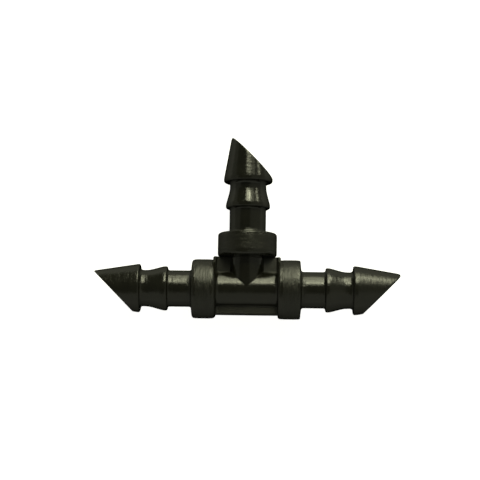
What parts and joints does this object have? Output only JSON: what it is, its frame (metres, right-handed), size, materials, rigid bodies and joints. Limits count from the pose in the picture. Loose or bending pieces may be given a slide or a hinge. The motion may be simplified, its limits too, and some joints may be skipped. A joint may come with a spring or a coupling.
{
  "type": "barbed tee connector",
  "caption": "Barbed tee fitting that joins soft micro-irrigation tubes, with stop collars, webbed corners, stepped barbs and angle-cut arrowhead tips.",
  "frame": {"origin": "the point where the axes of the run arms and the branch arm cross, inside the run bore", "axes": "+X along the run towards the right arm, +Y along the branch arm away from the run, +Z square to the flat of the tee; the tee lies flat, resting on the rims of its collars"},
  "size_m": [0.0334, 0.0199, 0.0064],
  "materials": {
    "polished_plastic": "olive-black moulded plastic, polished",
    "satin_plastic": "olive-black moulded plastic, fine spark-eroded texture"
  },
  "bodies": {
    "root": {"run_tube": "polished_plastic", "branch_tube": "polished_plastic", "right_gusset": "satin_plastic", "left_gusset": "satin_plastic", "run_rib": "satin_plastic", "right_collar": "satin_plastic", "right_shank": "polished_plastic", "right_inner_barb": "polished_plastic", "right_neck": "polished_plastic", "right_tip_barb": "satin_plastic", "left_collar": "satin_plastic", "left_shank": "polished_plastic", "left_inner_barb": "polished_plastic", "left_neck": "polished_plastic", "left_tip_barb": "satin_plastic", "branch_collar": "satin_plastic", "branch_shank": "polished_plastic", "branch_inner_barb": "polished_plastic", "branch_neck": "polished_plastic", "branch_tip_barb": "satin_plastic"}
  },
  "joints": []
}
